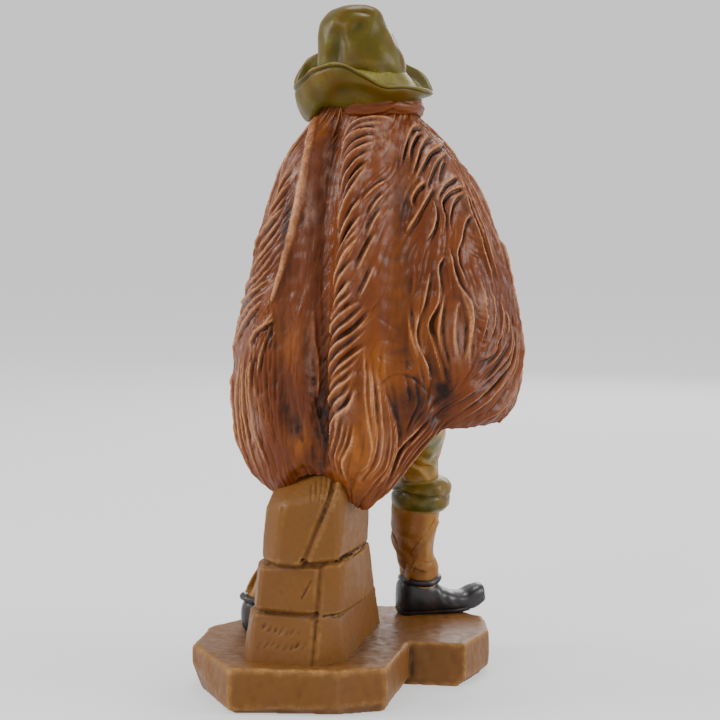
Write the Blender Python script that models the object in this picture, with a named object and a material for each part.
# Nativity shepherd figurine, cast in one piece: a man in a floppy hat and a sheepskin
# cloak, half seated on a pile of dressed stones on a rough plate.
# +Z is up, +Y is the way the shepherd faces, and the origin is at the middle of the
# underside of the plate.

import math

import bmesh
import bpy
import numpy as np
from mathutils import Vector

# Sizes that can be set by themselves, in metres
figure_height = 0.285
base_width = 0.139
base_depth = 0.131
base_thickness = 0.020
base_chamfer = 0.0009
undercut_inset = 0.0045
stone_chamfer = 0.0013

# The figure and the pile that it sits on are drawn in marks, and these make its height
marks_high = 285.0
mark = figure_height / marks_high

# Outline of the plate in shares of its width and depth, counter-clockwise from above,
# each corner with the share of the thickness where its undercut ends.
plate_corners = [
    (-0.350, -0.472, 0.10),
    (-0.010, -0.505, 0.20),
    (0.140, -0.460, 0.25),
    (0.218, -0.096, 0.20),
    (0.400, -0.126, 0.20),
    (0.487, 0.086, 0.20),
    (0.479, 0.312, 0.25),
    (0.338, 0.460, 0.30),
    (0.145, 0.480, 0.30),
    (-0.080, 0.470, 0.30),
    (-0.225, 0.405, 0.40),
    (-0.340, 0.265, 0.55),
    (-0.448, 0.130, 0.60),
    (-0.484, -0.140, 0.60),
]

# Dressed stones: corners of the bottom and of the top, as (x, y, height) in marks
stones = {
    "bottom_left": (
        [(-44, -37, -2), (-41, -49, -2), (-13, -58, -2), (-12, -8, -2), (-31, -6, -2)],
        [(-40, -36, 22), (-38, -45, 21), (-11, -55, 21), (-10, -8, 22), (-29, -8, 22)],
    ),
    "bottom_right": (
        [(-12, -58.5, -2), (2, -47, -2), (18, 27, -2), (-8, 30, -2), (-22, 18, -2)],
        [(-9.5, -56, 20), (-0.5, -50, 20), (15, 20, 20), (-8, 24, 21), (-19, 15, 21)],
    ),
    "middle_left": (
        [(-38.5, -38, 22), (-37, -50, 23), (-11, -56, 22), (-10, -6, 22), (-27, -6, 22)],
        [(-36.5, -38, 43), (-35, -50, 42), (-9, -55.5, 43), (-8, -6, 43), (-25, -6, 43)],
    ),
    "middle_right": (
        [(-10, -56.5, 18.5), (-0.5, -51, 20), (11, -24, 22), (15, -3, 22), (6, 22, 21), (-16, 18, 21)],
        [(-8, -56, 44), (1.5, -53, 44.5), (9, -30, 47), (12, -8, 47), (4, 19, 44), (-14, 15, 44)],
    ),
    "top_left": (
        [(-35, -44, 43.5), (-28.5, -55, 44), (-17.5, -57, 43), (-8, -10, 44), (-25, -8, 44)],
        [(-33, -44, 67), (-25.5, -54, 70), (-5, -55, 74), (-1, -40, 88), (-5, -8, 90), (-24, -8, 86)],
    ),
    "top_right": (
        [(-15.5, -57.5, 44.5), (-1, -56, 46), (11.5, -22, 47), (9, 10, 46), (-10, 14, 45)],
        [(-2, -56, 76.5), (2, -53, 72.5), (12, -24, 66), (10, 6, 88), (-8, 10, 90), (1, -40, 90)],
    ),
}
seat_core = ([(-26, -44, -3), (0, -46, -3), (8, 14, -3), (-18, 10, -3)],
             [(-20, -40, 92), (-2, -40, 92), (6, 6, 96), (-14, 4, 96)])

# The cloak is a stack of sections. Each row gives the height in marks, the left and the
# right edge as the back shows them, and how far the section reaches back and forward.
cloak_rows = [
    (66, -35, 60, -52, 26),
    (74, -43, 66, -53, 30),
    (84, -47, 72, -55, 34),
    (94, -48, 76, -57, 37),
    (104, -49, 78, -58, 39),
    (115, -49.5, 80.5, -59, 40),
    (131, -49, 82.5, -58.5, 40),
    (149, -45.5, 80, -57, 38),
    (164, -41.5, 76.5, -54.5, 35),
    (180, -39, 72, -51, 32),
    (190, -35.5, 68, -48, 29),
    (203, -31, 61.5, -43.5, 25),
    (215, -26.5, 53.5, -38, 20),
    (222, -22.5, 48.5, -34, 16),
    (229, -16, 42, -30, 12),
    (238, -10, 32, -26, 8),
]
cloak_middle_x = 12.0
cloak_middle_y = -8.0
cloak_top = 240.0

# Hem height in marks by the angle round from the middle of the back, in degrees
hem_points = [(-180, 104), (-135, 100), (-90, 87), (-68, 74), (-47, 68), (-35, 81), (-19, 82), (-9, 69),
              (0, 69), (10, 81), (22, 94), (30, 101), (40, 100), (62, 100), (90, 102), (135, 103), (180, 104)]

# Broad folds across the back: a path of (height, x) points, how far it stands out
# (a valley is negative) and its half width, all in marks
folds = [
    ([(236, 0), (200, -7), (150, -8), (110, -10), (84, -11)], -7.5, 4.2),
    ([(238, -11), (215, -15), (190, -19), (170, -25), (150, -32)], 2.6, 4.5),
    ([(232, 6), (200, 5), (160, 0), (120, -1), (84, 3)], 3.6, 6.5),
    ([(222, 24), (190, 25), (150, 24), (128, 26)], -3.2, 7.0),
    ([(236, 34), (214, 48), (190, 60), (165, 70)], 2.4, 4.0),
    ([(170, 57), (140, 58), (112, 52)], 2.8, 7.0),
    ([(150, 38), (126, 41), (104, 44)], -3.5, 4.5),
    ([(150, -26), (125, -27), (100, -22)], -3.0, 4.0),
    ([(160, -38), (130, -40), (96, -34)], 2.0, 5.0),
    ([(122, 12), (100, 11), (78, 11)], 3.0, 6.5),
]
# The front of the cloak: how deep its flutes are and how many go round, and how far the
# skin is drawn in behind its opening, whose half angle grows from top to hem
flute_depth = 1.8
flute_count = 7.0
opening_depth = 15.0
opening_top = 24
opening_growth = 14

# Rows of locks on the back, by their first lock's root and tip as (x, height), the steps
# to the next root and to the next tip, the furthest left that roots and tips go, the sag
# of their middles, and the width, thickness and lift of each lock, all in marks
lock_rows = {
    "fringe": {"count": 11, "root": (13, 233), "tip": (-2.5, 217), "root_step": (-1.0, -13.2),
               "tip_step": (-0.55, -13.2), "limits": (6, -99), "sag": 3.0, "size": (3.4, 2.3, 3.0)},
    "left": {"count": 8, "root": (-22, 204), "tip": (-34, 188), "root_step": (-2.6, -14.5),
             "tip_step": (-2.0, -14.5), "limits": (-35, -44), "sag": 2.0, "size": (3.4, 2.2, 2.6)},
    "left_hem": {"count": 4, "root": (-42, 112), "tip": (-37, 83), "root_step": (6, -3),
                 "tip_step": (5, -2.5), "limits": (-99, -99), "sag": -2.0, "size": (3.4, 2.2, 1.5)},
    "shoulder": {"count": 4, "root": (31, 232), "tip": (27, 205), "root_step": (5, -4),
                 "tip_step": (7, -4), "limits": (-99, -99), "sag": 2.0, "size": (4.0, 2.4, 2.4)},
    "rib": {"count": 6, "root": (48, 216), "tip": (50.5, 199), "root_step": (4.4, -10.5),
            "tip_step": (4.4, -10.5), "limits": (-99, -99), "sag": 3.0, "size": (3.4, 2.2, 2.4)},
    "fan": {"count": 7, "root": (72, 163), "tip": (72, 114), "root_step": (-1.5, -2.0),
            "tip_step": (-5.6, 1.2), "limits": (-99, -99), "sag": 5.0, "size": (3.8, 2.3, 1.6)},
    "loop": {"count": 1, "root": (55, 158), "tip": (51, 124), "root_step": (0, 0),
             "tip_step": (0, 0), "limits": (-99, -99), "sag": 2.5, "size": (5.0, 3.0, 2.2)},
}
# Locks over the seat, each by its root, its tip and its sag
seat_locks = [((-2, 112), (5, 85.2), -3.0), ((5, 110.5), (9.2, 80.7), -1.5), ((12, 109), (13.4, 79.8), 0.0),
              ((19, 107.5), (17.6, 84.3), 1.5), ((26, 106), (21.8, 88.8), 3.0)]
seat_lock_size = (3.4, 2.3, 1.5)

# Trunk, limbs and the small forms of the head: a path, the radius at each point of it, the
# sides of the section, how much it is squeezed, and the way that it is squeezed across
along_x, along_y, along_z = (1, 0, 0), (0, 1, 0), (0, 0, 1)
limbs = {
    "trunk": ([(12, -6, 96), (12, -4, 120), (11, 0, 150), (10, 1, 185), (10, -1, 215), (9.5, -2, 230)],
              [27, 29, 27, 30, 27, 12], 12, 0.72, along_x),
    "neck": ([(9.5, -2, 222), (9.5, 0, 236)], [10, 9], 10, 1.0, along_x),
    "belt": ([(11.5, -1.5, 137), (11.2, -0.9, 140), (11, -0.5, 144), (11, 0, 147)],
             [26, 29.5, 29.5, 26], 12, 0.76, along_x),
    "right_thigh": ([(22, -4, 112), (29, 18, 104), (34.5, 36, 90), (35, 45, 76), (36, 46, 60)],
                    [17, 16.5, 14, 10.5, 9.6], 10, 1.0, along_x),
    "left_thigh": ([(0, -4, 112), (-6, 20, 104), (-9, 40, 92), (-10.5, 45, 76), (-14, 38, 60)],
                   [16, 16, 13.5, 11, 9.6], 10, 1.0, along_x),
    "right_cuff": ([(36.5, 46, 50), (36.5, 46, 52), (37, 46, 58), (37, 46, 63), (36.8, 46, 65)],
                   [11.4, 13.0, 13.6, 13.2, 10.6], 12, 1.0, along_x),
    "left_cuff": ([(-18.4, 28.5, 49), (-17.6, 30, 51), (-15.8, 34, 56), (-14.4, 37, 60), (-13.8, 38.2, 62)],
                  [11.0, 12.6, 13.0, 12.6, 10.6], 12, 1.0, along_x),
    "right_shin": ([(35.5, 46, 56), (34, 46, 46), (34.5, 46.5, 28), (36.8, 47, 17), (36.8, 47, 12)],
                   [11.6, 11.4, 8.8, 9.4, 8.4], 10, 1.0, along_x),
    "left_shin": ([(-16, 34, 56), (-21, 27, 45), (-29, 14, 29), (-36, 5.5, 17.5), (-37.5, 4.5, 12)],
                  [11.0, 10.6, 8.2, 7.6, 7.2], 10, 1.0, along_x),
    "right_arm": ([(34, -2, 210), (58, 4, 172), (62, 14, 150), (44, 36, 150), (24, 47, 160), (19, 49, 163)],
                  [13, 13, 12.5, 11, 9.5, 6.5], 10, 1.0, along_z),
    "left_arm": ([(-12, -2, 210), (-30, 4, 172), (-32, 14, 150), (-18, 34, 150), (0, 46, 160), (5, 49, 163)],
                 [13, 13, 12.5, 11, 9.5, 6.5], 10, 1.0, along_z),
    "right_hand": ([(20, 49, 161), (15.5, 50, 167), (14, 51.5, 176), (13.5, 53, 185)],
                   [5, 6.2, 5.4, 2.2], 8, 0.62, along_y),
    "left_hand": ([(4, 49, 161), (8.5, 50, 167), (10, 51.5, 176), (10.5, 53, 185)],
                  [5, 6.2, 5.4, 2.2], 8, 0.62, along_y),
    "nose": ([(9.5, 17.8, 246), (9.5, 20.5, 241), (9.5, 22.5, 237.5), (9.5, 18.5, 235.5)],
             [1.6, 2.2, 3.0, 1.6], 6, 1.0, along_x),
    "beard": ([(9.5, 13, 234), (9.5, 15.5, 228), (9.5, 17, 220), (9.5, 18.5, 211)],
              [9.5, 10.5, 7.5, 1.5], 10, 0.72, along_x),
}
# Rolled collar: the middle, reach and height of its ring, its wave, its first angle and the
# step between its points in degrees, and the radii along it
collar_middle = (11, -6)
collar_reach = (20, 18)
collar_level = 239
collar_wave = 1.5
collar_start = -30
collar_step = 23
collar_radii = [2, 4, 4.6, 4.8, 4.8, 4.8, 4.6, 4, 2]

# Head and hair as rounded balls: centre, radii, sides and rows
balls = {
    "head": ((9.5, 3, 241), (13.5, 16.5, 18.5), 14, 9),
    "hair": ((9.5, -3, 243), (15.5, 16.0, 15), 12, 7),
}

# Shoe sections in marks: distance from the heel, half width, lowest and highest level
shoe_stations = [(0, 5.0, 0.5, 15), (2, 7.8, 0, 17.5), (9, 8.8, 0, 17.5), (18, 8.6, 0, 15), (26, 8.4, 0, 10),
                 (33, 7.4, 0.8, 10.5), (39, 6.0, 2.6, 12.8), (43, 3.0, 6.0, 11.8)]
shoe_sink = 0.8
shoe_sides = 10
shoes = {"right_shoe": ((25.5, 43.5), 74), "left_shoe": ((-37.8, -3.5), 0)}

# Crown of the hat: height, middle and half sizes of each section, with two pinches as
# (angle in radians, width, depth) that fade in above a height
crown_rows = [(250, 9, -4, 18.0, 19.0), (257, 9, -4.5, 19.5, 20.0), (264, 8, -5, 18.5, 18.5),
              (271, 6.0, -6, 16.5, 16.0), (277, 5.0, -7, 13.8, 13.5), (281.5, 6.0, -8, 10.5, 9.5),
              (284.2, 7.2, -8, 5.8, 5.0)]
crown_sides = 16
crown_pinches = [(1.9, 0.5, 0.16), (5.0, 0.45, 0.10)]
pinch_start = 258
pinch_fade = 12

# Rim and fold of the brim by angle in degrees from +X towards +Y: the reach and height
# of the rim, then the reach and height of the fold under it
brim_points = [
    (-180, 29.5, 248, 26, 233), (-155, 30, 251, 25.5, 236), (-130, 31.5, 256, 27, 242),
    (-105, 32, 257.5, 28, 246.5), (-90, 32, 253.5, 28.5, 245.5), (-75, 32, 249, 28, 243.5),
    (-55, 32, 248.5, 26, 241.5), (-28, 31.5, 247, 25, 241), (0, 31, 246.5, 26, 243),
    (30, 30.5, 255, 26, 247), (60, 31, 261, 26, 250), (90, 32, 263, 26, 252), (120, 31, 265, 26, 252),
    (145, 30, 261, 25.5, 245), (160, 30, 255, 26, 238), (180, 29.5, 248, 26, 233),
]
brim_middle = (9, -5)
brim_root = 15.5
brim_root_low = 240.0
brim_root_high = 257.0
brim_sides = 26


def placed(points):
    """Marks to metres, with height counted from the top of the plate."""
    scaled = np.asarray(points, float) * mark
    return scaled + np.array([0.0, 0.0, base_thickness])


def closed_mesh(name, points, faces, smooth=True):
    mesh = bpy.data.meshes.new(name)
    mesh.from_pydata([tuple(p) for p in points], [], faces)
    made = bmesh.new()
    made.from_mesh(mesh)
    bmesh.ops.recalc_face_normals(made, faces=made.faces)
    made.to_mesh(mesh)
    made.free()
    mesh.polygons.foreach_set("use_smooth", [smooth] * len(mesh.polygons))
    thing = bpy.data.objects.new(name, mesh)
    bpy.context.scene.collection.objects.link(thing)
    return thing


def lofted(name, rings, smooth=True):
    """Closes a stack of equal rings with a fan at each end."""
    count = len(rings[0])
    points = [p for ring in rings for p in ring]
    faces = []
    for row in range(len(rings) - 1):
        for i in range(count):
            j = (i + 1) % count
            low, high = row * count, (row + 1) * count
            faces.append((low + i, low + j, high + j, high + i))
    points.append(np.mean(rings[0], axis=0))
    points.append(np.mean(rings[-1], axis=0))
    first, last = len(points) - 2, len(points) - 1
    top = (len(rings) - 1) * count
    for i in range(count):
        j = (i + 1) % count
        faces.append((first, j, i))
        faces.append((last, top + i, top + j))
    return closed_mesh(name, placed(points), faces, smooth)


def limb(name, path, radii, sides=12, flat=1.0, side_way=(1, 0, 0)):
    """A round-ended limb along a path; flat squeezes it across side_way."""
    path = np.asarray(path, float)
    rings = []
    for i, centre in enumerate(path):
        ahead = path[min(i + 1, len(path) - 1)] - path[max(i - 1, 0)]
        ahead /= np.linalg.norm(ahead)
        across = np.asarray(side_way, float)
        across = across - ahead * np.dot(across, ahead)
        across /= np.linalg.norm(across)
        over = np.cross(ahead, across)
        ring = []
        for k in range(sides):
            turn = 2 * math.pi * k / sides
            ring.append(centre + radii[i] * (math.cos(turn) * across + flat * math.sin(turn) * over))
        rings.append(ring)
    return lofted(name, rings)


def ball(name, centre, radii, sides=14, rows=8):
    rings = []
    for row in range(1, rows):
        tilt = math.pi * row / rows - math.pi / 2
        ring = []
        for k in range(sides):
            turn = 2 * math.pi * k / sides
            ring.append(np.array(centre) + np.array(radii) * np.array(
                [math.cos(tilt) * math.cos(turn), math.cos(tilt) * math.sin(turn), math.sin(tilt)]))
        rings.append(ring)
    made = lofted(name, rings)
    ends = made.data.vertices
    ends[-2].co = placed(np.array(centre) - [0, 0, radii[2]])
    ends[-1].co = placed(np.array(centre) + [0, 0, radii[2]])
    return made


def block(name, bottom, top, bevel):
    """A dressed stone: the hull of its bottom and top corners, with cut edges."""
    made = bmesh.new()
    for corner in list(bottom) + list(top):
        made.verts.new(placed(corner))
    bmesh.ops.convex_hull(made, input=made.verts)
    loose = [v for v in made.verts if not v.link_faces]
    bmesh.ops.delete(made, geom=loose, context="VERTS")
    bmesh.ops.dissolve_limit(made, angle_limit=math.radians(4), verts=made.verts, edges=made.edges)
    if bevel > 0:
        bmesh.ops.bevel(made, geom=list(made.edges), offset=bevel, segments=1,
                        affect="EDGES", clamp_overlap=True)
    bmesh.ops.recalc_face_normals(made, faces=made.faces)
    mesh = bpy.data.meshes.new(name)
    made.to_mesh(mesh)
    made.free()
    thing = bpy.data.objects.new(name, mesh)
    bpy.context.scene.collection.objects.link(thing)
    return thing


def smooth_rows(heights, values, at):
    """A smooth curve through the rows, by averaging three straight readings."""
    step = 3.0
    return sum(np.interp(at + shift, heights, values) for shift in (-step, 0.0, step)) / 3.0


row_heights = [row[0] for row in cloak_rows]


def cloak_reach(height):
    return [smooth_rows(row_heights, [row[k] for row in cloak_rows], height) for k in (1, 2, 3, 4)]


def hem_height(turn):
    degrees = np.degrees(turn)
    angles = [p[0] for p in hem_points]
    heights = [p[1] for p in hem_points]
    return sum(np.interp(degrees + shift, angles, heights) for shift in (-3, 0, 3)) / 3.0


def fold_rise(x, height):
    """How far the broad folds lift the back at (x, height)."""
    rise = 0.0
    for path, lift, half in folds:
        levels = [p[0] for p in path][::-1]
        middles = [p[1] for p in path][::-1]
        middle = np.interp(height, levels, middles)
        run_out = np.clip((levels[-1] + 6 - height) / 12, 0, 1)
        run_out *= np.clip((height - levels[0] + 6) / 12, 0, 1)
        rise += lift * run_out * np.exp(-((x - middle) / half) ** 2)
    return rise


def cloak_point(turn, share, inset=0.0):
    """A point of the cloak: turn goes round from the back, share from collar to hem."""
    hem = hem_height(turn)
    height = cloak_top + (hem - cloak_top) * share
    left, right, back, front = cloak_reach(height)
    roll = math.sqrt(max(0.0, 1 - ((share - 0.94) / 0.075) ** 2)) if share > 0.94 else 1.0
    roll = 0.84 + 0.16 * roll
    side = math.sin(turn)
    wide = (right - cloak_middle_x) if side > 0 else (cloak_middle_x - left)
    deep = (cloak_middle_y - back) if math.cos(turn) > 0 else (front - cloak_middle_y)
    x = cloak_middle_x + wide * side
    rise = 0.0
    if math.cos(turn) > 0:
        rise = fold_rise(x, height) * min(1.0, 1.6 * math.cos(turn))
    else:
        flutes = flute_depth * math.sin(flute_count * turn + 0.6) * min(1.0, -2.0 * math.cos(turn))
        rise = flutes * min(1.0, share * 2.0)
        gap = math.pi - abs(turn)
        opening = math.radians(opening_top + opening_growth * share)
        rise -= opening_depth * np.clip((opening - gap) / math.radians(7), 0, 1)
    reach = roll * (1 - inset)
    out = np.array([side, -math.cos(turn)]) * rise
    return np.array([
        cloak_middle_x + (wide * side + out[0]) * reach,
        cloak_middle_y + (-deep * math.cos(turn) + out[1]) * reach,
        height,
    ])


def cloak_at(x, height, sink=0.0):
    """The point of the back of the cloak seen at (x, height), set in by sink."""
    left, right, back, front = cloak_reach(height)
    wide = (right - cloak_middle_x) if x > cloak_middle_x else (cloak_middle_x - left)
    turn = math.asin(max(-0.995, min(0.995, (x - cloak_middle_x) / wide)))
    hem = hem_height(turn)
    share = (cloak_top - height) / (cloak_top - hem)
    point = cloak_point(turn, min(share, 1.0))
    inward = np.array([cloak_middle_x, cloak_middle_y, height]) - point
    inward[2] = 0
    return point + inward / np.linalg.norm(inward) * sink


def fur_lock(name, points, width, thick, lift=1.5):
    """A tapering lock of fleece along (x, height) points on the back of the cloak."""
    points = np.asarray(points, float)
    steps = 4
    shares = np.linspace(0, 1, steps)
    marks_along = np.linspace(0, 1, len(points))
    path = []
    for share in shares:
        x = np.interp(share, marks_along, points[:, 0])
        height = np.interp(share, marks_along, points[:, 1])
        path.append(cloak_at(x, height, 1.2 - lift * share))
    path = np.array(path)
    middle = np.array([cloak_middle_x, cloak_middle_y, 0.0])
    rings = []
    for i, centre in enumerate(path):
        ahead = path[min(i + 1, steps - 1)] - path[max(i - 1, 0)]
        ahead /= np.linalg.norm(ahead)
        outward = centre - middle
        outward[2] = 0
        outward /= np.linalg.norm(outward)
        across = np.cross(ahead, outward)
        across /= np.linalg.norm(across)
        full = math.sin(math.pi * (0.22 + 0.72 * shares[i])) ** 0.8
        ring = []
        for k in range(5):
            turn = 2 * math.pi * k / 5 + math.pi / 2
            over = thick * (0.4 + 0.6 * full) * math.sin(turn)
            ring.append(centre + width * full * math.cos(turn) * across + over * outward)
        rings.append(ring)
    return lofted(name, rings)


def bend(start, end, sag):
    """Three points from start to end, the middle one moved across by sag."""
    start, end = np.array(start, float), np.array(end, float)
    way = end - start
    across = np.array([way[1], -way[0]]) / np.linalg.norm(way)
    return [start, (start + end) / 2 + across * sag, end]


for old in list(bpy.data.objects):
    bpy.data.objects.remove(old, do_unlink=True)

masses = bpy.data.collections.new("masses")
bpy.context.scene.collection.children.link(masses)
parts = []

# Stone pile
for name, (bottom, top) in stones.items():
    parts.append(block(name, bottom, top, stone_chamfer))
parts.append(block("pile_core", seat_core[0], seat_core[1], 0.0))

# Cloak
around = np.radians(np.concatenate([
    np.linspace(-180, -90, 10)[:-1], np.linspace(-90, 90, 33)[:-1], np.linspace(90, 180, 10)[:-1]]))
down = np.concatenate([np.linspace(0, 0.92, 16), [0.96, 0.985, 1.0]])
rings = [[cloak_point(turn, share) for turn in around] for share in down]
rings.append([cloak_point(turn, 1.0, 0.16) + np.array([0, 0, 2.5]) for turn in around])
rings.append([cloak_point(turn, 1.0, 0.45) + np.array([0, 0, 7.0]) for turn in around])
rings.insert(0, [cloak_point(turn, 0.0, 0.45) + np.array([0, 0, 2.0]) for turn in around])
parts.append(lofted("cloak", rings))

# Locks of the fleece
for name, row in lock_rows.items():
    for i in range(row["count"]):
        root, tip = [(max(row[end][0] + row[end + "_step"][0] * i, limit), row[end][1] + row[end + "_step"][1] * i)
                     for end, limit in zip(("root", "tip"), row["limits"])]
        parts.append(fur_lock(f"{name}_{i}", bend(root, tip, row["sag"]), *row["size"]))
for i, (root, tip, sag) in enumerate(seat_locks):
    parts.append(fur_lock(f"seat_{i}", bend(root, tip, sag), *seat_lock_size))

# Rolled collar
collar = []
for i in range(len(collar_radii)):
    turn = math.radians(collar_start + collar_step * i)
    collar.append((collar_middle[0] + collar_reach[0] * math.sin(turn),
                   collar_middle[1] - collar_reach[1] * math.cos(turn),
                   collar_level + collar_wave * math.sin(turn * 2)))
parts.append(limb("collar", collar, collar_radii, 8, 1.0, along_z))

# Trunk, limbs, hands folded in front of the chest, head, hair and beard
for name, (path, radii, sides, flat, side_way) in limbs.items():
    parts.append(limb(name, path, radii, sides, flat, side_way))
for name, (centre, radii, sides, rows) in balls.items():
    parts.append(ball(name, centre, radii, sides, rows))


def shoe(name, heel, heading):
    """A low shoe from its heel towards heading, with the toe turned up."""
    way = np.array([math.sin(heading), math.cos(heading)])
    across = np.array([way[1], -way[0]])
    rings = []
    for along, half, low, high in shoe_stations:
        middle = np.array(heel) + way * along
        ring = []
        for k in range(shoe_sides):
            turn = 2 * math.pi * k / shoe_sides + math.pi / shoe_sides
            side = half * math.copysign(abs(math.cos(turn)) ** 0.7, math.cos(turn))
            rise = 0.5 + 0.5 * math.copysign(abs(math.sin(turn)) ** 0.7, math.sin(turn))
            level = low - shoe_sink + (high - low + shoe_sink) * rise
            ring.append((middle[0] + across[0] * side, middle[1] + across[1] * side, level))
        rings.append(ring)
    return lofted(name, rings)


for name, (heel, heading) in shoes.items():
    parts.append(shoe(name, heel, math.radians(heading)))

# Hat: a dented crown, and a brim that turns up at the back and droops at the left
rings = []
for height, middle_x, middle_y, wide, deep in crown_rows:
    fade = np.clip((height - pinch_start) / pinch_fade, 0, 1)
    ring = []
    for k in range(crown_sides):
        turn = 2 * math.pi * k / crown_sides
        pinch = 1.0
        for angle, width, depth in crown_pinches:
            pinch -= depth * math.exp(-(((turn - angle) / width) ** 2)) * fade
        ring.append((middle_x + wide * pinch * math.cos(turn), middle_y + deep * pinch * math.sin(turn), height))
    rings.append(ring)
parts.append(lofted("crown", rings))

turns = np.arange(brim_sides) * 360.0 / brim_sides - 180.0
brim_angles = [p[0] for p in brim_points]
brim_reads = [[np.interp(t, brim_angles, [p[n] for p in brim_points]) for n in (1, 2, 3, 4)] for t in turns]


def brim_ring(reach_of, height_of):
    ring = []
    for turn, reads in zip(np.radians(turns), brim_reads):
        r = reach_of(reads)
        ring.append((brim_middle[0] + r * math.cos(turn), brim_middle[1] + r * math.sin(turn), height_of(reads)))
    return ring


rings_low = [
    brim_ring(lambda b: brim_root, lambda b: min(brim_root_low, b[3] + 3)),
    brim_ring(lambda b: b[2] - 1, lambda b: b[3]),
    brim_ring(lambda b: (b[2] + b[0]) / 2 + 1.2, lambda b: b[3] + 0.42 * (b[1] - b[3])),
    brim_ring(lambda b: b[0] + 0.3, lambda b: b[1] - 0.9),
]
rings_top = [
    brim_ring(lambda b: b[0] - 0.8, lambda b: b[1]),
    brim_ring(lambda b: (b[2] + b[0]) / 2 - 1.6, lambda b: b[3] + 0.62 * (b[1] - b[3])),
    brim_ring(lambda b: b[2] - 3.6, lambda b: b[3] + 3.4 + 0.30 * (b[1] - b[3])),
    brim_ring(lambda b: brim_root, lambda b: brim_root_high),
]
parts.append(lofted("brim", rings_low + rings_top))

for piece in parts:
    for holder in list(piece.users_collection):
        holder.objects.unlink(piece)
    masses.objects.link(piece)
    piece.hide_render = True
    piece.display_type = "WIRE"

# Plate: three rings of one outline, set in below its undercut
levels = []
for inset, level in ((undercut_inset, 0.0), (0.0, None), (0.0, base_thickness - base_chamfer),
                     (base_chamfer, base_thickness)):
    ring = []
    for x, y, under in plate_corners:
        corner = Vector((x * base_width, y * base_depth))
        corner -= corner.normalized() * inset
        ring.append((corner.x, corner.y, under * base_thickness if level is None else level))
    levels.append(ring)
count = len(plate_corners)
points = [p for ring in levels for p in ring]
faces = [tuple(reversed(range(count))), tuple(3 * count + i for i in range(count))]
for row in range(3):
    for i in range(count):
        j = (i + 1) % count
        faces.append((row * count + i, row * count + j, (row + 1) * count + j, (row + 1) * count + i))
figurine = closed_mesh("shepherd_figurine", points, faces, smooth=False)
union = figurine.modifiers.new("one_casting", "BOOLEAN")
union.operation = "UNION"
union.solver = "EXACT"
union.operand_type = "COLLECTION"
union.collection = masses

paint = bpy.data.materials.new("painted_resin")
paint.use_nodes = True
shader = paint.node_tree.nodes["Principled BSDF"]
shader.inputs["Base Color"].default_value = (0.33, 0.13, 0.05, 1.0)
shader.inputs["Roughness"].default_value = 0.38
shader.inputs["Metallic"].default_value = 0.0
figurine.data.materials.append(paint)
